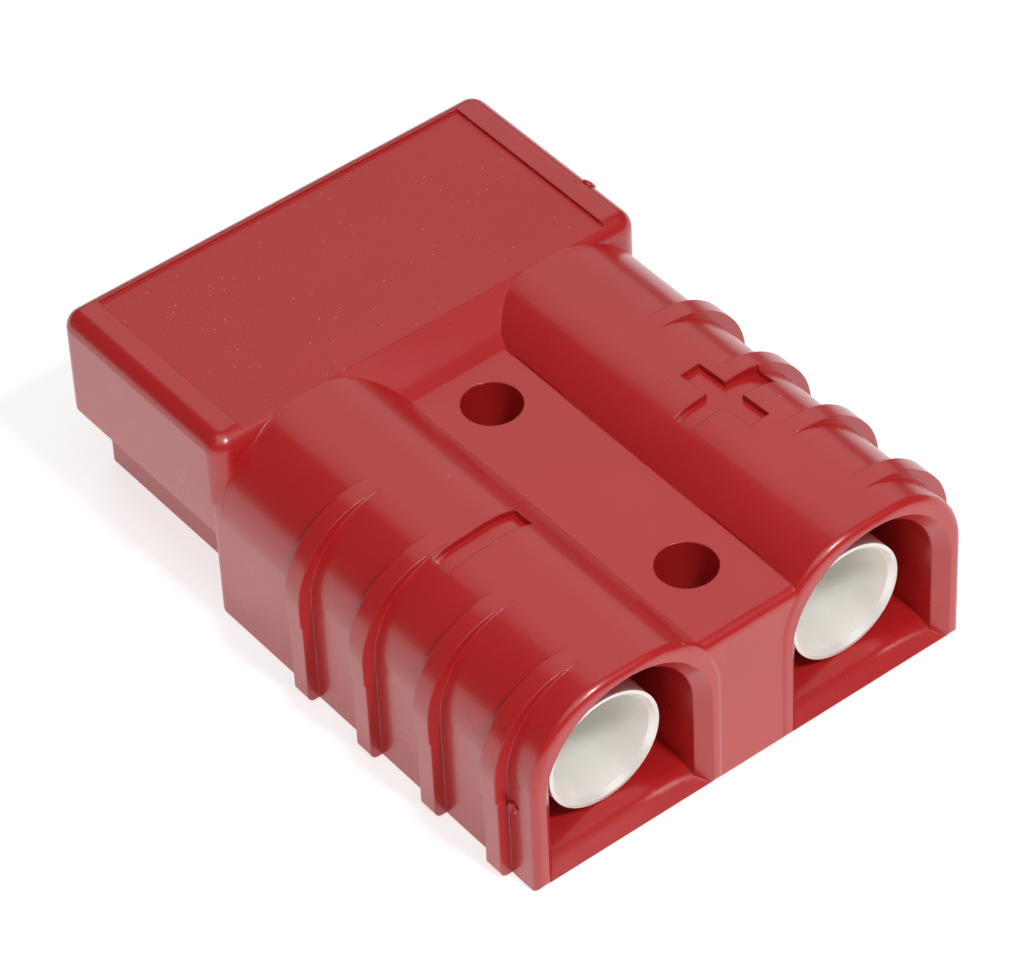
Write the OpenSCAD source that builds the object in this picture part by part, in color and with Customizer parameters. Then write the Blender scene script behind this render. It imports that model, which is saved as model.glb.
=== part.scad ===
// Genderless two-pole power connector, all sizes in millimetres.
// +Y is the mating end, +Z the label side, X runs from the negative pole to the positive one.
// Two of these mate with each other: the second is turned half round about the X axis, so its
// hood closes over these tongues and its contacts press on these contacts at the parting plane.

/* [Poles] */
// Distance between the two contact axes
pole_spacing = 31.6; // [31:0.2:36]
// Width of each wire entry
entry_width = 18.4; // [17:0.2:20]
// Height of each wire entry, floor to crown
entry_height = 19.1; // [17.6:0.1:21]
// Width of the flare round the mouth of a wire entry
flare = 1.4; // [0.4:0.1:1.6]
// Depth of the bevel at the mouth of its floor
floor_bevel = 1.8; // [0.6:0.1:1.8]
// Length of that bevel
floor_bevel_length = 3.2; // [1.6:0.1:5]

/* [Housing walls] */
// Wall outside each wire entry
side_wall = 2.9; // [2.4:0.1:5]
// Wall above the crown of each wire entry
crown_wall = 2.35; // [2:0.05:4]
// Wall under each wire entry
floor_wall = 2.2; // [2:0.1:3]
// Radius of the long shoulders of each tube
shoulder_radius = 10; // [8:0.25:11]
// Rounding of the edges round the wire end
end_radius = 0.9; // [0.3:0.1:1.2]
// Rounding of the upright corners at the mating shoulder
front_radius = 1.5; // [0.5:0.1:2.5]

/* [Mounting web] */
// Depth of the web below the crown of the tubes
web_drop = 3.45; // [2.5:0.05:5]
// Setback of the web from the wire end
web_setback = 0.2; // [0.1:0.1:1]
// Rounding of the end of the web
web_radius = 1.2; // [0.4:0.1:2]
// Diameter of the mounting holes
hole_diameter = 6.6; // [4:0.1:7]
// Distance between the mounting holes
hole_spacing = 31.1; // [28:0.1:33]
// Distance of the first mounting hole from the wire end
hole_setback = 10.1; // [9:0.1:12]
// Diameter of the washer that the web clears
washer_width = 12.6; // [12:0.1:14]
// Length of the washer clearance along the web
washer_length = 9.3; // [8:0.1:12]

/* [Mating end] */
// Length of the rear body, wire end to mating shoulder
body_length = 53.4; // [51:0.2:60]
// Length of the hood and the tongues beyond the shoulder
mating_length = 25.6; // [24:0.2:30]
// Height of the parting plane, where the contact faces meet
parting_height = 10.8; // [10.4:0.1:11.4]
// Running clearance between mated housings
mating_gap = 0.3; // [0.1:0.05:0.5]
// Side walls of each tongue
tongue_wall = 1.2; // [0.8:0.1:1.6]
// Bottom of each tongue under the spring
tongue_floor = 1.6; // [1.2:0.1:2]
// Lip at the front of each tongue
tongue_lip = 1.6; // [1:0.1:2]
// Height of that lip
lip_height = 5.6; // [3:0.1:7]
// Rounding of the front corners of each tongue
tongue_corner = 0.8; // [0.3:0.1:1.2]
// Clearance over the blade where it passes the housing wall
passage_gap = 0.4; // [0.2:0.1:1]
// Setback of the hood sides from the body sides
hood_setback = 0.1; // [0.05:0.05:0.5]
// Radius of the upright corners of the hood
hood_corner = 1.5; // [1:0.1:3]
// Radius of the top edges of the hood
hood_edge = 1.2; // [0.6:0.1:2]

/* [Label panel] */
// Depth of the label panel below its border
label_depth = 0.35; // [0.2:0.05:0.6]
// Border beside the label panel
label_border = 4; // [3:0.1:6]
// Border in front of the label panel
label_front = 1.9; // [1.6:0.1:4]
// Length of the hood behind the shoulder, over the tubes
hood_overlap = 2.5; // [1.5:0.1:4]
// Length of the slope from the label panel down to the web
ramp_length = 5.6; // [4:0.1:7]
// Rise of the gentle foot of that slope
ramp_toe_rise = 0.8; // [0.4:0.1:1.4]
// Length of the gentle foot of that slope
ramp_toe_length = 2; // [1:0.1:3]

/* [Grip ribs] */
// Number of ribs on each side
rib_count = 4; // [2:1:5]
// Distance between ribs
rib_pitch = 10.55; // [8:0.05:11]
// Width of a rib
rib_width = 2.3; // [1.5:0.1:4]
// Height of a rib above the side
rib_rise = 1.6; // [0.8:0.1:2.2]
// Middle of the first rib from the wire end
rib_setback = 5.25; // [4:0.05:7]
// Step in a rib at the parting line
rib_step = 0.2; // [0.1:0.05:0.5]
// Rounding of the lower end of a rib
rib_round = 0.9; // [0.3:0.1:1.2]

/* [Contacts] */
// Outer diameter of the crimp barrel
barrel_diameter = 14; // [12:0.1:15]
// Wall of the crimp barrel
barrel_wall = 1.4; // [1:0.1:2.5]
// Length of the crimp barrel
barrel_length = 20.5; // [18:0.5:22]
// Depth of the wire bore
bore_depth = 17.5; // [14:0.5:18]
// Setback of the barrel from the wire end
barrel_setback = 4.1; // [3:0.1:5]
// Length of the neck between barrel and blade
neck_length = 6; // [4:0.5:8]
// Width of the blade
blade_width = 12.4; // [10:0.1:13]
// Thickness of the blade
blade_thickness = 3.2; // [2:0.1:4]
// Clearance beside the blade in its channel
blade_gap = 0.2; // [0.1:0.05:0.4]
// Clearance of the barrel over the floor of the entry
barrel_gap = 0.1; // [0.05:0.05:0.3]
// Clearance between the neck and the wall that stops it
stop_gap = 0.3; // [0.1:0.1:1]
// Length of the hooked nose
nose_length = 3; // [2:0.1:4]
// Drop of the nose below the blade
nose_drop = 2.8; // [2:0.1:3.2]
// Clearance between the nose and the lip of the tongue
nose_gap = 1.4; // [0.5:0.1:3]

/* [Springs] */
// Width of the leaf spring
spring_width = 10.8; // [8:0.1:12]
// Thickness of the leaf spring
spring_thickness = 0.6; // [0.4:0.05:0.8]
// Length of the flat foot held in the housing
foot_length = 7.4; // [5:0.1:8]
// Clearance of the spring in its slot and under the blade
spring_gap = 0.15; // [0.05:0.05:0.3]

/* [Hidden] */
$fn = 96;
// Overshoot of a cutting shape past the face that it cuts
cut = 1;

pole_x = pole_spacing / 2;
entry_radius = entry_width / 2;
entry_crown = floor_wall + entry_height;
entry_centre = entry_crown - entry_radius;
half_width = pole_x + entry_radius + side_wall;
tube_half = half_width - pole_x;
tube_top = entry_crown + crown_wall;
housing_top = tube_top + label_depth;
housing_length = body_length + mating_length;
web_top = tube_top - web_drop;

// The round shoulders of a tube have their centres this far beside its axis, at this height
shoulder_offset = tube_half - shoulder_radius;
shoulder_height = tube_top - shoulder_radius;

channel_half = blade_width / 2 + blade_gap;
tongue_half = channel_half + tongue_wall;
tongue_top = parting_height - mating_gap / 2;
window_half = tongue_half + mating_gap;
window_back = body_length - mating_gap;
window_top = 2 * parting_height + mating_gap;
hood_half = half_width - hood_setback;
hood_back = body_length - hood_overlap;
hood_bottom = parting_height + mating_gap / 2;
panel_half = hood_half - label_border;
ramp_start = hood_back + hood_edge;

barrel_radius = barrel_diameter / 2;
bore_radius = barrel_radius - barrel_wall;
barrel_axis = floor_wall + barrel_gap + barrel_radius;
barrel_end = barrel_setback + barrel_length;
neck_end = barrel_end + neck_length;
entry_depth = neck_end + stop_gap;
blade_bottom = parting_height - blade_thickness;
nose_tip = housing_length - tongue_lip - nose_gap;
nose_bottom = blade_bottom - nose_drop;
nose_radius = nose_length - 0.6;
bore_flare = barrel_wall - 0.4;

slot_height = spring_thickness + spring_gap;
foot_start = body_length - foot_length;
leaf_end = nose_tip - nose_length - 2 * spring_gap;
leaf_rise = blade_bottom - spring_gap - spring_thickness - tongue_floor;
// The leaf follows a cosine through this angle: level at the foot and highest under the blade
leaf_sweep = 240;
leaf_steps = 24;

// Carries a node to the middle of the length
module placed() {
  translate([0, -housing_length / 2, 0]) children();
}

// Lays a profile drawn in (x, z) out along +Y
module along_y(length) {
  translate([0, length, 0]) rotate([90, 0, 0]) linear_extrude(length) children();
}

// Lays a profile drawn in (y, z) out along X, centred
module across_x(width) {
  rotate([90, 0, 90]) linear_extrude(width, center = true) children();
}

// Rectangle between two corners, with rounded corners
module rounded_rect(low, high, radius) {
  translate(low + [radius, 0]) square(high - low - [2 * radius, 0]);
  translate(low + [0, radius]) square(high - low - [0, 2 * radius]);
  for (x = [low[0] + radius, high[0] - radius], y = [low[1] + radius, high[1] - radius])
    translate([x, y]) circle(radius);
}

// Half plan of the rear body: out to "reach" from its axis, with rounded ends
module end_profile(reach) {
  square([reach - front_radius, body_length]);
  translate([0, end_radius]) square([reach, body_length - front_radius - end_radius]);
  translate([reach - end_radius, end_radius]) circle(end_radius);
  translate([reach - front_radius, body_length - front_radius]) circle(front_radius);
  translate([reach - front_radius, 0]) square([front_radius - end_radius, end_radius]);
}

// One tube: straight sides, two round shoulders and a flat crown, all with the same rounded end
module tube() {
  for (side = [0, 1])
    mirror([side, 0, 0]) translate([shoulder_offset, 0, 0]) {
      linear_extrude(shoulder_height) end_profile(shoulder_radius);
      translate([0, 0, shoulder_height]) rotate([-90, 0, 0])
        rotate_extrude(angle = -90) end_profile(shoulder_radius);
    }
  translate([0, 0, shoulder_height]) rotate([0, -90, 0])
    linear_extrude(2 * shoulder_offset, center = true) end_profile(shoulder_radius);
  translate([-shoulder_offset, 0, 0])
    cube([2 * shoulder_offset, body_length, shoulder_height]);
}

// Half plan of a wire entry, flared at its mouth
module entry_profile() {
  polygon([
    [0, -cut],
    [entry_radius + flare + cut, -cut],
    [entry_radius, flare],
    [entry_radius, entry_depth],
    [0, entry_depth]
  ]);
}

// Space for a wire: a round arch over straight sides, on a floor with a bevelled mouth
module wire_entry() {
  bevel_slope = floor_bevel / floor_bevel_length;
  translate([0, 0, entry_centre]) rotate([-90, 0, 0]) rotate_extrude() entry_profile();
  intersection() {
    linear_extrude(entry_centre) {
      entry_profile();
      mirror([1, 0]) entry_profile();
    }
    across_x(2 * pole_x) polygon([
      [-2 * cut, entry_centre + cut],
      [-2 * cut, floor_wall - floor_bevel - 2 * cut * bevel_slope],
      [floor_bevel_length, floor_wall],
      [entry_depth + cut, floor_wall],
      [entry_depth + cut, entry_centre + cut]
    ]);
  }
}

// Way for the blade and its nose through the wall, and the slot that holds the foot of the spring
module blade_passage() {
  passage_floor = nose_bottom - spring_gap;
  slot_half = spring_width / 2 + spring_gap;
  translate([-channel_half, entry_depth - cut, passage_floor])
    cube([2 * channel_half, body_length - entry_depth + 2 * cut,
      parting_height + passage_gap - passage_floor]);
  translate([-slot_half, foot_start, tongue_floor])
    cube([2 * slot_half, foot_length + cut, slot_height]);
}

// Open channel of a tongue, with a lip left at its front
module tongue_channel() {
  channel_length = housing_length - tongue_lip - body_length;
  translate([-channel_half, body_length, tongue_floor])
    cube([2 * channel_half, channel_length, parting_height]);
  translate([-channel_half, body_length + channel_length - cut, lip_height])
    cube([2 * channel_half, tongue_lip + 2 * cut, parting_height]);
}

// Space in the hood for the tongue of the mating connector
module mating_window() {
  translate([-window_half, window_back, tongue_top])
    cube([2 * window_half, housing_length - window_back + cut, window_top - tongue_top]);
}

module tongue() {
  linear_extrude(tongue_top) {
    translate([-tongue_half, body_length - cut])
      square([2 * tongue_half, mating_length + cut - tongue_corner]);
    rounded_rect([-tongue_half, body_length], [tongue_half, housing_length], tongue_corner);
  }
}

// Hood over the tongues, with rounded corners, edges and back
module hood() {
  height = housing_top - hood_bottom;
  intersection() {
    translate([0, 0, hood_bottom]) linear_extrude(height)
      rounded_rect([-hood_half, hood_back - hood_corner], [hood_half, housing_length], hood_corner);
    along_y(housing_length)
      rounded_rect([-hood_half, 0], [hood_half, housing_top], hood_edge);
    across_x(2 * hood_half)
      rounded_rect([hood_back, 0], [housing_length, housing_top], hood_edge);
  }
}

// Mounting web between the tubes, and the slope from it up to the label panel
module web() {
  across_x(2 * pole_x) {
    translate([web_setback, 0]) square([body_length - web_setback, web_top - web_radius]);
    translate([web_setback + web_radius, 0]) square([body_length - web_setback - web_radius, web_top]);
    translate([web_setback + web_radius, web_top - web_radius]) circle(web_radius);
    ramp_profile(0);
  }
}

// Side view of the slope, or of the open space above it up to "top"
module ramp_profile(top) {
  foot = ramp_start - ramp_length;
  closing = top > 0
    ? [[ramp_start, top], [foot - cut, top], [foot - cut, web_top]]
    : [[body_length, tube_top], [body_length, 0], [foot, 0]];
  polygon(concat([
    [foot, web_top],
    [foot + ramp_toe_length, web_top + ramp_toe_rise],
    [ramp_start, tube_top]
  ], closing));
}

// Outline of a rib from the axis of its tube outwards, stepped at the parting line
module rib_profile() {
  reach = tube_half + rib_rise;
  low_reach = reach - rib_step;
  translate([shoulder_offset + rib_rise, shoulder_height]) intersection() {
    circle(shoulder_radius);
    square(shoulder_radius);
  }
  square([shoulder_offset + rib_rise, tube_top]);
  translate([0, parting_height]) square([reach, shoulder_height - parting_height]);
  translate([0, rib_round]) square([low_reach, parting_height - rib_round]);
  square([low_reach - rib_round, parting_height]);
  translate([low_reach - rib_round, rib_round]) circle(rib_round);
}

module ribs() {
  for (side = [0, 1], i = [0 : rib_count - 1])
    mirror([side, 0, 0])
      translate([pole_x, rib_setback + i * rib_pitch - rib_width / 2, 0])
        along_y(rib_width) rib_profile();
}

// Pockets in the flanks of the tubes that clear a washer, and the holes themselves
module mounting_cuts() {
  for (y = [hole_setback, hole_setback + hole_spacing]) {
    translate([0, y, web_top])
      linear_extrude(housing_top)
        rounded_rect([-washer_width / 2, -washer_length / 2],
          [washer_width / 2, washer_length / 2], 1);
    translate([0, y, -cut]) cylinder(d = hole_diameter, h = housing_top);
  }
}

module label_recess() {
  panel_back = hood_back - cut;
  translate([-panel_half, panel_back, tube_top])
    cube([2 * panel_half, housing_length - label_front - panel_back, housing_top]);
}

module housing() {
  color([0.70, 0.13, 0.14]) placed() difference() {
    union() {
      for (x = [-pole_x, pole_x]) translate([x, 0, 0]) tube();
      web();
      ribs();
      difference() {
        hood();
        across_x(2 * pole_x) ramp_profile(housing_top + cut);
        label_recess();
      }
      for (x = [-pole_x, pole_x]) translate([x, 0, 0]) tongue();
    }
    for (x = [-pole_x, pole_x]) translate([x, 0, 0]) {
      wire_entry();
      blade_passage();
      mating_window();
      tongue_channel();
    }
    mounting_cuts();
  }
}

// Plan of the blade from the axis outwards, tapered from the barrel
module blade_plan() {
  polygon([
    [-barrel_radius, barrel_end],
    [barrel_radius, barrel_end],
    [blade_width / 2, neck_end],
    [blade_width / 2, nose_tip],
    [-blade_width / 2, nose_tip],
    [-blade_width / 2, neck_end]
  ]);
}

// Side view of the neck, blade and hooked nose
module blade_side() {
  polygon([
    [barrel_end, barrel_axis - barrel_radius],
    [barrel_end, barrel_axis + barrel_radius],
    [neck_end, parting_height],
    [neck_end, blade_bottom]
  ]);
  translate([neck_end, blade_bottom])
    square([nose_tip - nose_radius - neck_end, blade_thickness]);
  translate([nose_tip - nose_length, nose_bottom])
    square([nose_length, parting_height - nose_radius - nose_bottom]);
  translate([nose_tip - nose_radius, parting_height - nose_radius]) intersection() {
    circle(nose_radius);
    square(nose_radius);
  }
}

// Crimp barrel, closed at its neck, with the flat blade and its hooked nose
module contact() {
  color([0.86, 0.86, 0.82]) difference() {
    union() {
      translate([0, barrel_setback, barrel_axis]) rotate([-90, 0, 0])
        cylinder(r = barrel_radius, h = barrel_length);
      intersection() {
        linear_extrude(barrel_axis + barrel_radius) blade_plan();
        across_x(barrel_diameter) blade_side();
        translate([0, barrel_setback, barrel_axis]) rotate([-90, 0, 0])
          cylinder(r = barrel_radius + cut, h = housing_length);
      }
    }
    translate([0, barrel_setback, barrel_axis]) rotate([-90, 0, 0]) {
      translate([0, 0, -cut]) cylinder(r = bore_radius, h = bore_depth + cut);
      translate([0, 0, -cut])
        cylinder(r1 = bore_radius + bore_flare + cut, r2 = bore_radius, h = bore_flare + cut);
    }
  }
}

// Height of the underside of the leaf at a share of its length
function leaf_height(share) =
  tongue_floor + leaf_rise * (1 - cos(leaf_sweep * share)) / 2;

// Flat foot in the housing, then a leaf that bows up under the blade behind its nose
module spring() {
  leaf_start = body_length + spring_gap;
  leaf = [
    for (i = [0 : leaf_steps])
      let (share = i / leaf_steps)
        [leaf_start + share * (leaf_end - leaf_start), leaf_height(share)]
  ];
  top = [for (i = [leaf_steps : -1 : 0]) leaf[i] + [0, spring_thickness]];
  color([0.75, 0.75, 0.76])
    across_x(spring_width) polygon(concat(
      [[foot_start, tongue_floor + spring_thickness], [foot_start, tongue_floor]],
      leaf,
      top
    ));
}

module contact_negative() {
  placed() translate([-pole_x, 0, 0]) contact();
}

module contact_positive() {
  placed() translate([pole_x, 0, 0]) contact();
}

module spring_negative() {
  placed() translate([-pole_x, 0, 0]) spring();
}

module spring_positive() {
  placed() translate([pole_x, 0, 0]) spring();
}

housing();
contact_negative();
contact_positive();
spring_negative();
spring_positive();
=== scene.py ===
import math

import bpy
from mathutils import Matrix, Vector


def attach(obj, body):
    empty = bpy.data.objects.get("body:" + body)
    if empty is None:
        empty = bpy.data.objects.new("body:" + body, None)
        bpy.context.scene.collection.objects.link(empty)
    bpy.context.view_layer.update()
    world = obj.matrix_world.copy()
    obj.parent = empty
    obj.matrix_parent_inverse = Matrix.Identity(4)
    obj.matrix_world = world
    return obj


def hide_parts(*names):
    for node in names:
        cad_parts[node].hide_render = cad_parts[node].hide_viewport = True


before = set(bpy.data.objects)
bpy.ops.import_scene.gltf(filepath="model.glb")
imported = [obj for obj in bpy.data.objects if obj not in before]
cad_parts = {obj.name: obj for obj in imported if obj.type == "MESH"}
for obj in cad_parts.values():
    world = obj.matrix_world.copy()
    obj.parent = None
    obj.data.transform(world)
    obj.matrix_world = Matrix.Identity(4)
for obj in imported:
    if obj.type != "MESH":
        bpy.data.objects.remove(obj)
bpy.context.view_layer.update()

# All lengths below are in millimetres from the row's own origin, and MM turns them to metres.
# +Y is the mating end, +Z the label side, and the positive pole is at +X.
MM = 0.001

WIRE_END = -39.5
POLE_X = 15.8
TUBE_TOP = 23.65
SHOULDER_RADIUS = 10.0
SHOULDER_OFFSET = 2.1
SHOULDER_HEIGHT = TUBE_TOP - SHOULDER_RADIUS


# ---------------------------------------------------------------- hand tools

def alone(obj):
    """Selects this object and nothing else."""
    bpy.ops.object.select_all(action="DESELECT")
    obj.select_set(True)
    bpy.context.view_layer.objects.active = obj


def named(name):
    obj = bpy.context.object
    obj.name = obj.data.name = name
    return obj


def apply_place(obj):
    """Leaves the object at the origin, with its place in its mesh."""
    alone(obj)
    bpy.ops.object.transform_apply(location=True, rotation=True, scale=True)


def select_faces(obj, wanted):
    """Selects the faces that wanted(centre in millimetres, normal) accepts, and stays in edit mode."""
    bpy.ops.mesh.select_all(action="DESELECT")
    bpy.ops.object.mode_set(mode="OBJECT")
    for face in obj.data.polygons:
        face.select = wanted(face.center / MM, face.normal)
    bpy.ops.object.mode_set(mode="EDIT")


def select_corners(obj, wanted):
    """Selects the corners that wanted(place in millimetres) accepts, and stays in edit mode."""
    bpy.ops.mesh.select_mode(type="VERT")
    bpy.ops.mesh.select_all(action="DESELECT")
    bpy.ops.object.mode_set(mode="OBJECT")
    for corner in obj.data.vertices:
        corner.select = wanted(corner.co / MM)
    bpy.ops.object.mode_set(mode="EDIT")


def finish_modifier(obj, kind, **settings):
    """Adds a modifier with these settings and applies it."""
    alone(obj)
    bpy.ops.object.modifier_add(type=kind)
    modifier = obj.modifiers[-1]
    for key, value in settings.items():
        setattr(modifier, key, value)
    bpy.ops.object.modifier_apply(modifier=modifier.name)


def cut_away(obj, cutter):
    finish_modifier(obj, "BOOLEAN", operation="DIFFERENCE", object=cutter, solver="EXACT")


def discard(obj):
    bpy.data.objects.remove(obj)


# ---------------------------------------------------------------- housing

def merged_copy(node, name):
    """A welded copy of a CAD node."""
    obj = bpy.data.objects.new(name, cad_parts[node].data.copy())
    bpy.context.scene.collection.objects.link(obj)
    alone(obj)
    bpy.ops.mesh.customdata_custom_splitnormals_clear()
    bpy.ops.object.mode_set(mode="EDIT")
    bpy.ops.mesh.select_all(action="SELECT")
    bpy.ops.mesh.remove_doubles(threshold=0.002 * MM)
    bpy.ops.object.mode_set(mode="OBJECT")
    return obj


MARK_DEPTH = 0.7
MARK_WIDTH = 2.6
MARK_TURN = math.radians(3)


def tube_core(pole, depth):
    """A tube of the housing down to its middle, smaller all round by this depth."""
    sides = 192
    bpy.ops.mesh.primitive_cylinder_add(
        vertices=sides,
        radius=(SHOULDER_RADIUS - depth) * MM,
        depth=60 * MM,
        location=(pole * MM, -15 * MM, SHOULDER_HEIGHT * MM),
        rotation=(math.pi / 2, math.pi / sides, 0),
    )
    core = named("tube_core")
    apply_place(core)
    bpy.ops.object.mode_set(mode="EDIT")
    for side in (-1, 1):
        select_corners(core, lambda place: side * (place.x - pole) > 0)
        bpy.ops.transform.translate(value=(side * SHOULDER_OFFSET * MM, 0, 0))
    bpy.ops.mesh.select_mode(type="FACE")
    bpy.ops.object.mode_set(mode="OBJECT")
    return core


def mark_cutter(name, centre, reaches):
    """A square block, drawn out on each side into the arms of a minus or plus sign."""
    bpy.ops.mesh.primitive_cube_add(size=MARK_WIDTH * MM, location=(0, 0, 0))
    block = named(name)
    bpy.ops.object.mode_set(mode="EDIT")
    for (x, y), reach in reaches.items():
        side = Vector((x, y, 0))
        select_faces(block, lambda place, normal: normal.dot(side) > 0.9
                     and place.cross(side).length < 0.01)
        bpy.ops.mesh.extrude_region_move(
            TRANSFORM_OT_translate={"value": side * (reach - MARK_WIDTH / 2) * MM})
    bpy.ops.object.mode_set(mode="OBJECT")
    block.scale.z = 3
    block.rotation_euler.z = MARK_TURN
    block.location = (centre[0] * MM, centre[1] * MM, TUBE_TOP * MM)
    apply_place(block)
    core = tube_core(math.copysign(POLE_X, centre[0]), MARK_DEPTH)
    cut_away(block, core)
    discard(core)
    return block


housing = merged_copy("housing", "moulded_housing")
minus = mark_cutter("minus_mark", (-15.0, WIRE_END + 23.7), {(-1, 0): 5.5, (1, 0): 5.5})
plus = mark_cutter("plus_mark", (16.6, WIRE_END + 23.8),
                   {(-1, 0): 5.8, (1, 0): 5.8, (0, -1): 5.2, (0, 1): 5.2})
for mark in (minus, plus):
    cut_away(housing, mark)
    discard(mark)


# The moulding is rounder than the CAD at the edges of its hood and along its heel. A form stands
# just outside the faces, by EASE, so that a cut along it takes the edges alone.
EASE = 0.02
HOOD_TOP = 24.0
HOOD_SIDE = 27.8
HOOD_BACK = WIRE_END + 50.9
HOOD_FRONT = -WIRE_END
HOOD_UNDERSIDE = 10.8
HOOD_ROUND = 2.2
HEEL_ROUND = 1.2


def block(name, low, high, radius=0.0):
    """A block between two corners, rounded along all its edges where it is given a radius."""
    low, high = Vector(low), Vector(high)
    bpy.ops.mesh.primitive_cube_add(size=MM, location=(low + high) / 2 * MM)
    solid = named(name)
    solid.scale = high - low
    apply_place(solid)
    if radius:
        finish_modifier(solid, "BEVEL", width=radius * MM, segments=10)
    return solid


def round_off(reach, spared):
    """Cuts from the housing what lies within reach and outside every spared solid."""
    for solid in spared:
        cut_away(reach, solid)
        discard(solid)
    cut_away(housing, reach)
    discard(reach)


around_hood = block("around_hood", (-30, HOOD_BACK - EASE, SHOULDER_HEIGHT), (30, 41, 26))
around_front = block("around_front", (-30, 36, HOOD_UNDERSIDE), (30, 41, 20))
finish_modifier(around_hood, "BOOLEAN", operation="UNION", object=around_front, solver="EXACT")
discard(around_front)
round_off(around_hood, [
    block("hood_form", (-HOOD_SIDE - EASE, HOOD_BACK - EASE, 0),
          (HOOD_SIDE + EASE, HOOD_FRONT + EASE, HOOD_TOP + EASE), HOOD_ROUND),
    block("slope_form", (-POLE_X, HOOD_BACK - 1, 0), (POLE_X, HOOD_BACK + 9, 30)),
    tube_core(-POLE_X, -EASE),
    tube_core(POLE_X, -EASE),
])
round_off(
    block("around_heel", (-31, WIRE_END - 1, -1), (31, WIRE_END + HEEL_ROUND, HEEL_ROUND)),
    [block("heel_form", (-40, WIRE_END - EASE, -EASE), (40, 40, 40), HEEL_ROUND)],
)

alone(housing)
bpy.ops.object.shade_smooth_by_angle(angle=math.radians(30))
finish_modifier(housing, "WEIGHTED_NORMAL", keep_sharp=True, weight=100)
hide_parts("housing")


def moulded_nub(name, place, radius, height, outward):
    """A low round blister with a dished top, as a gate or a nick leaves on a moulding."""
    bpy.ops.mesh.primitive_cylinder_add(vertices=24, radius=radius * MM, depth=2 * height * MM)
    nub = named(name)
    bpy.ops.object.mode_set(mode="EDIT")
    select_faces(nub, lambda centre, normal: normal.z > 0.9)
    bpy.ops.mesh.inset(thickness=0.35 * radius * MM)
    bpy.ops.mesh.inset(thickness=0.3 * radius * MM)
    bpy.ops.transform.translate(value=(0, 0, -0.6 * height * MM))
    bpy.ops.mesh.select_all(action="SELECT")
    bpy.ops.transform.vertex_random(offset=0.12 * radius * MM, seed=3)
    bpy.ops.object.mode_set(mode="OBJECT")
    finish_modifier(nub, "SUBSURF", levels=2, render_levels=2)
    bpy.ops.object.shade_smooth()
    nub.rotation_euler = Vector(outward).to_track_quat("Z", "Y").to_euler()
    nub.location = Vector(place) * MM
    apply_place(nub)
    return nub


vestige = moulded_nub("gate_vestige", (-27.9, WIRE_END + 3.3, 10.1), 0.75, 0.3, (-1, 0, 0))
nib = moulded_nub("edge_nib", (27.15, WIRE_END + 58.6, 23.3), 0.8, 0.3, (0.7, 0, 0.7))


# ---------------------------------------------------------------- contacts

BARREL_MOUTH = WIRE_END + 4.1
FLARE = 1.0
BELL_DRAW = 1.6


def belled_contact(node, name):
    """The contact, with the chamfer in its mouth drawn inwards to a long bell."""
    contact = merged_copy(node, name)
    bpy.ops.object.mode_set(mode="EDIT")
    select_corners(contact, lambda place: abs(place.y - BARREL_MOUTH - FLARE) < 0.01)
    bpy.ops.transform.translate(value=(0, BELL_DRAW * MM, 0))
    bpy.ops.mesh.select_mode(type="FACE")
    bpy.ops.object.mode_set(mode="OBJECT")
    bpy.ops.object.shade_smooth_by_angle(angle=math.radians(32))
    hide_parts(node)
    return contact


contacts = [belled_contact("contact_negative", "negative_contact"),
            belled_contact("contact_positive", "positive_contact")]

for piece in (housing, vestige, nib):
    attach(piece, "root")
for piece in contacts:
    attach(piece, "root")


# ---------------------------------------------------------------- materials

def linear(code):
    """An sRGB hex colour as the linear colour that a shader takes."""
    parts = [int(code[i:i + 2], 16) / 255 for i in (1, 3, 5)]
    return [p / 12.92 if p <= 0.04045 else ((p + 0.055) / 1.055) ** 2.4 for p in parts] + [1.0]


def input_socket(node, key):
    """The input with this name, or where several share one, the enabled one with this name or mark."""
    for socket in node.inputs:
        if socket.enabled and key in (socket.identifier, socket.name.replace(" ", "_")):
            return socket
    raise KeyError(f"{node.bl_idname} has no input {key}")


def add_node(material, kind, settings=None, **inputs):
    """Adds a shader node: settings are its own properties, inputs are values or output sockets."""
    node = material.node_tree.nodes.new(kind)
    for key, value in (settings or {}).items():
        setattr(node, key, value)
    for key, value in inputs.items():
        socket = input_socket(node, key)
        if isinstance(value, bpy.types.NodeSocket):
            material.node_tree.links.new(value, socket)
        else:
            socket.default_value = value
    return node


def new_material(name):
    material = bpy.data.materials.new(name)
    material.use_nodes = True
    material.node_tree.nodes.clear()
    return material


def give(material, *objects):
    for obj in objects:
        obj.data.materials.clear()
        obj.data.materials.append(material)


# Injection-moulded polycarbonate, glossy off a polished tool: a deep red with clear reflections,
# a faint ripple in its skin, dust here and there, and a fine spark-eroded grain on the label panel
# with painted glints.
PANEL_BACK = WIRE_END + 52.1
PANEL_SIDE = 23.8
PANEL_FRONT = 37.6
plastic = new_material("moulded_polycarbonate")
spot = add_node(plastic, "ShaderNodeTexCoord").outputs["Object"]
axes = add_node(plastic, "ShaderNodeSeparateXYZ", Vector=spot)

# Mottle of 12 mm, from pigment that flowed unevenly
mottle = add_node(plastic, "ShaderNodeTexNoise", Vector=spot, Scale=1 / (12 * MM), Detail=2.0)
tint = add_node(plastic, "ShaderNodeMix", {"data_type": "RGBA"},
                Factor=mottle.outputs["Fac"], A=linear("#B41D1F"), B=linear("#BC2324"))

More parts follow.
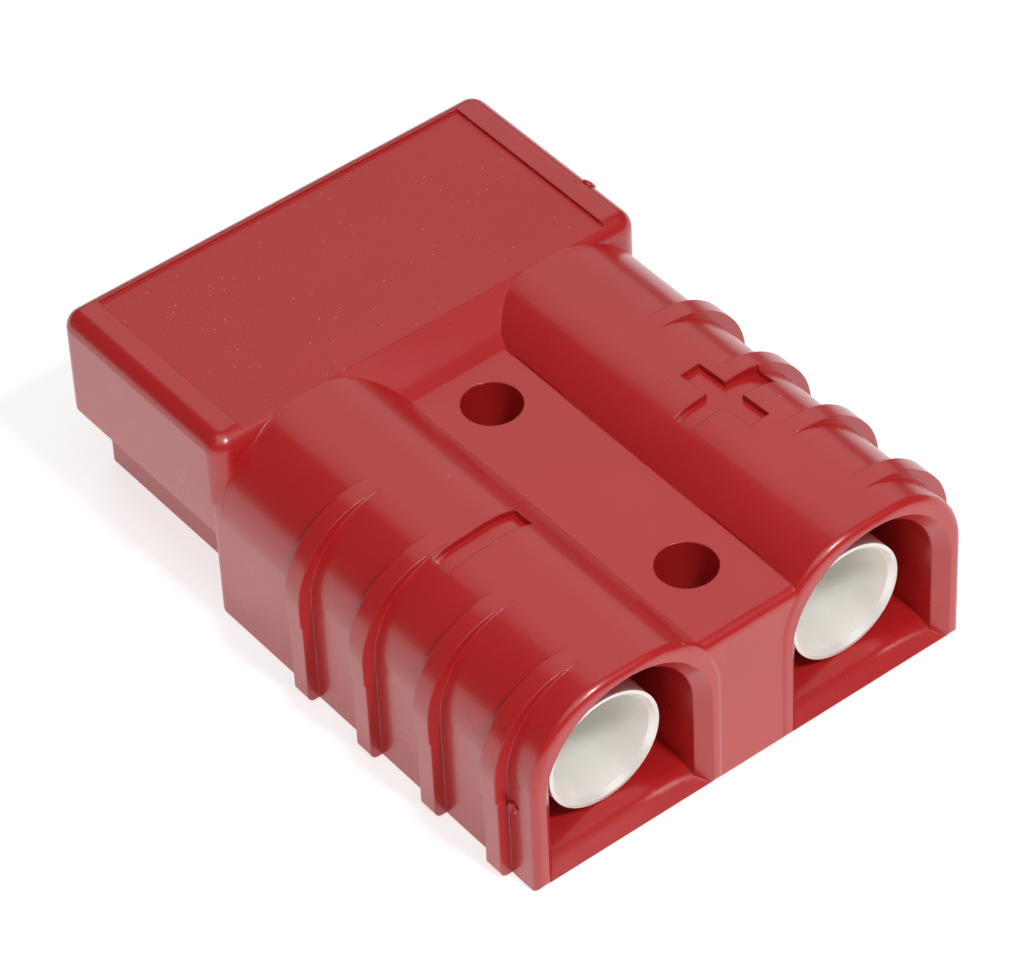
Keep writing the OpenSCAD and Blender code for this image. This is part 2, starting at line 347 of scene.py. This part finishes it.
# The panel: flat, between its border and the slope, just under the top of the hood
across = add_node(plastic, "ShaderNodeMath", {"operation": "ABSOLUTE"}, Value=axes.outputs["X"])
inside = [
    add_node(plastic, "ShaderNodeMath", {"operation": "LESS_THAN"},
             Value=across.outputs["Value"], Value_001=PANEL_SIDE * MM),
    add_node(plastic, "ShaderNodeMath", {"operation": "GREATER_THAN"},
             Value=axes.outputs["Y"], Value_001=PANEL_BACK * MM),
    add_node(plastic, "ShaderNodeMath", {"operation": "LESS_THAN"},
             Value=axes.outputs["Y"], Value_001=PANEL_FRONT * MM),
    add_node(plastic, "ShaderNodeMath", {"operation": "GREATER_THAN"},
             Value=axes.outputs["Z"], Value_001=(TUBE_TOP - 0.1) * MM),
]
panel = inside[0].outputs["Value"]
for test in inside[1:]:
    panel = add_node(plastic, "ShaderNodeMath", {"operation": "MULTIPLY"},
                     Value=panel, Value_001=test.outputs["Value"]).outputs["Value"]



def specks(cell, radius, share):
    """Points of this radius, both in millimetres, in a share of cells of this size."""
    cells = add_node(plastic, "ShaderNodeTexVoronoi", Vector=spot, Scale=1 / (cell * MM),
                     Randomness=1.0)
    near = add_node(plastic, "ShaderNodeMath", {"operation": "LESS_THAN"},
                    Value=cells.outputs["Distance"], Value_001=radius / cell)
    drawn = add_node(plastic, "ShaderNodeSeparateColor", Color=cells.outputs["Color"])
    chosen = add_node(plastic, "ShaderNodeMath", {"operation": "LESS_THAN"},
                      Value=drawn.outputs["Red"], Value_001=share)
    return add_node(plastic, "ShaderNodeMath", {"operation": "MULTIPLY"},
                    Value=near.outputs["Value"], Value_001=chosen.outputs["Value"])


# Dust: a pale point of 0.2 mm here and there
dusty = add_node(plastic, "ShaderNodeMix", {"data_type": "RGBA"},
                 Factor=specks(3.0, 0.1, 0.3).outputs["Value"],
                 A=tint.outputs["Result"], B=linear("#D98F8C"))

# Painted highlights: pale glints of 0.16 mm put into the panel's colour, where its eroded grain would
# catch the light
painted_glint_mask = add_node(plastic, "ShaderNodeMath", {"operation": "MULTIPLY"},
                  Value=specks(0.9, 0.08, 0.4).outputs["Value"], Value_001=panel)
dusty_with_painted_glints = add_node(plastic, "ShaderNodeMix", {"data_type": "RGBA"},
                  Factor=painted_glint_mask.outputs["Value"], A=dusty.outputs["Result"],
                  B=linear("#DC8583"))

# Roughness: smears of 5 mm on the gloss, and the duller panel
smears = add_node(plastic, "ShaderNodeTexNoise", Vector=spot, Scale=1 / (5 * MM), Detail=4.0)
gloss = add_node(plastic, "ShaderNodeMapRange", Value=smears.outputs["Fac"],
                 To_Min=0.24, To_Max=0.34)
dulled = add_node(plastic, "ShaderNodeMix", {"data_type": "FLOAT"},
                  Factor=panel, A=gloss.outputs["Result"], B=0.46)

# Relief: edges rounded by 0.25 mm, a ripple of 2.5 mm, and on the panel a grain of 0.3 mm
ripple = add_node(plastic, "ShaderNodeTexNoise", Vector=spot, Scale=1 / (2.5 * MM), Detail=2.0)
grain = add_node(plastic, "ShaderNodeTexNoise", Vector=spot, Scale=1 / (0.3 * MM), Detail=2.0)
grain_height = add_node(plastic, "ShaderNodeMath", {"operation": "MULTIPLY"},
                        Value=grain.outputs["Fac"], Value_001=panel)
soft_edges = add_node(plastic, "ShaderNodeBevel", {"samples": 6}, Radius=0.25 * MM)
rippled = add_node(plastic, "ShaderNodeBump", Height=ripple.outputs["Fac"],
                   Strength=0.1, Distance=0.05 * MM, Normal=soft_edges.outputs["Normal"])
grained = add_node(plastic, "ShaderNodeBump", Height=grain_height.outputs["Value"],
                   Strength=0.8, Distance=0.08 * MM, Normal=rippled.outputs["Normal"])
shader = add_node(plastic, "ShaderNodeBsdfPrincipled", Base_Color=dusty_with_painted_glints.outputs["Result"],
                  Roughness=dulled.outputs["Result"], IOR=1.58, Coat_Weight=0.25,
                  Coat_Roughness=0.1, Normal=grained.outputs["Normal"])
add_node(plastic, "ShaderNodeOutputMaterial", Surface=shader.outputs["BSDF"])
give(plastic, housing, nib, vestige)

# Silver plate on turned copper: satin and near white, with turning marks round the barrel.
silver = new_material("satin_silver_plate")
spot = add_node(silver, "ShaderNodeTexCoord").outputs["Object"]
# Turning marks of 0.4 mm: bands across the axis of the barrel, stretched round it
along = add_node(silver, "ShaderNodeMapping", Vector=spot, Scale=(0.02, 1.0, 0.02))
marks = add_node(silver, "ShaderNodeTexNoise", Vector=along.outputs["Vector"],
                 Scale=1 / (0.4 * MM), Detail=3.0)
# Blotches of 2 mm where the plate is duller
blotches = add_node(silver, "ShaderNodeTexNoise", Vector=spot, Scale=1 / (2 * MM), Detail=4.0)
tarnish = add_node(silver, "ShaderNodeMix", {"data_type": "RGBA"},
                   Factor=blotches.outputs["Fac"], A=linear("#FEFEFB"), B=linear("#F6F4EC"))
matt = add_node(silver, "ShaderNodeMapRange", Value=blotches.outputs["Fac"],
                To_Min=0.32, To_Max=0.46)
scored = add_node(silver, "ShaderNodeBump", Height=marks.outputs["Fac"],
                  Strength=0.25, Distance=0.03 * MM)
shader = add_node(silver, "ShaderNodeBsdfPrincipled", Base_Color=tarnish.outputs["Result"],
                  Metallic=0.38, Roughness=matt.outputs["Result"], Normal=scored.outputs["Normal"])
add_node(silver, "ShaderNodeOutputMaterial", Surface=shader.outputs["BSDF"])
give(silver, *contacts)

# Stainless spring strip, cold rolled: bright grey, with fine lines along its length that stretch
# each highlight across the strip.
steel = new_material("rolled_spring_steel")
spot = add_node(steel, "ShaderNodeTexCoord").outputs["Object"]
# Rolled lines of 0.15 mm, drawn out along the strip
drawn = add_node(steel, "ShaderNodeMapping", Vector=spot, Scale=(1.0, 0.03, 0.03))
lines = add_node(steel, "ShaderNodeTexNoise", Vector=drawn.outputs["Vector"],
                 Scale=1 / (0.15 * MM), Detail=2.0)
# Paler and darker patches of 3 mm, from handling
patches = add_node(steel, "ShaderNodeTexNoise", Vector=spot, Scale=1 / (3 * MM), Detail=3.0)
toned = add_node(steel, "ShaderNodeMix", {"data_type": "RGBA"},
                 Factor=patches.outputs["Fac"], A=linear("#A9A9AC"), B=linear("#C2C1BF"))
brushed = add_node(steel, "ShaderNodeMapRange", Value=lines.outputs["Fac"],
                   To_Min=0.24, To_Max=0.42)
ridged = add_node(steel, "ShaderNodeBump", Height=lines.outputs["Fac"],
                  Strength=0.3, Distance=0.01 * MM)
shader = add_node(steel, "ShaderNodeBsdfPrincipled", Base_Color=toned.outputs["Result"],
                  Metallic=1.0, Roughness=brushed.outputs["Result"],
                  Normal=ridged.outputs["Normal"])
add_node(steel, "ShaderNodeOutputMaterial", Surface=shader.outputs["BSDF"])
give(steel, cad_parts["spring_negative"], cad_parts["spring_positive"])


# ---------------------------------------------------------------- floor, light and camera

bpy.ops.mesh.primitive_plane_add(size=4, location=(0, 0, -0.0002))
floor = named("studio_floor")
# Opal acrylic lit from below, as under small product shots: white, with almost no shadow.
paper = new_material("opal_light_table")
shader = add_node(paper, "ShaderNodeBsdfPrincipled", Base_Color=linear("#C8C8C8"), Roughness=0.9,
                  Emission_Color=(1, 1, 1, 1), Emission_Strength=0.7)
add_node(paper, "ShaderNodeOutputMaterial", Surface=shader.outputs["BSDF"])
give(paper, floor)

world = bpy.data.worlds.new("studio")
bpy.context.scene.world = world
world.use_nodes = True
world.node_tree.nodes["Background"].inputs["Color"].default_value = (1, 1, 1, 1)
world.node_tree.nodes["Background"].inputs["Strength"].default_value = 0.08


def softbox(name, place, aim, size, power):
    """A square area light at place, turned towards aim, both in metres."""
    bpy.ops.object.light_add(type="AREA", location=place)
    lamp = bpy.context.object
    lamp.name = name
    lamp.data.shape = "SQUARE"
    lamp.data.size = size
    lamp.data.energy = power
    direction = Vector(aim) - Vector(place)
    lamp.rotation_euler = direction.to_track_quat("-Z", "Y").to_euler()
    return lamp


softbox("overhead", (-0.12, -0.15, 0.5), (0, 0, 0.01), 0.5, 1.0)
softbox("back_wall", (0.5, 0.65, 0.65), (0, 0, 0.01), 0.9, 1.9)
softbox("lamp", (0.03, -0.33, 0.5), (0, 0, 0.01), 0.08, 1.8)

AZIMUTH = math.radians(-36.5707)
ELEVATION = math.radians(43.7503)
ROLL = math.radians(-2.9329)
DISTANCE = 476.702
TARGET = Vector((-29.268, WIRE_END - 0.987, 57.859))
FOCAL_LENGTH = 184.69
SENSOR = 36.0

back = Vector((math.sin(AZIMUTH) * math.cos(ELEVATION),
               -math.cos(AZIMUTH) * math.cos(ELEVATION),
               math.sin(ELEVATION)))
level = Vector((math.cos(AZIMUTH), math.sin(AZIMUTH), 0))
rise = back.cross(level)
right = math.cos(ROLL) * level + math.sin(ROLL) * rise
up = math.cos(ROLL) * rise - math.sin(ROLL) * level
bpy.ops.object.camera_add()
camera = bpy.context.object
camera.matrix_world = Matrix.Translation((TARGET + back * DISTANCE) * MM) @ Matrix(
    (right, up, back)).transposed().to_4x4()
camera.data.lens = FOCAL_LENGTH
camera.data.sensor_width = SENSOR
camera.data.clip_start = 0.01
bpy.context.scene.camera = camera
bpy.context.scene.view_settings.view_transform = "Standard"
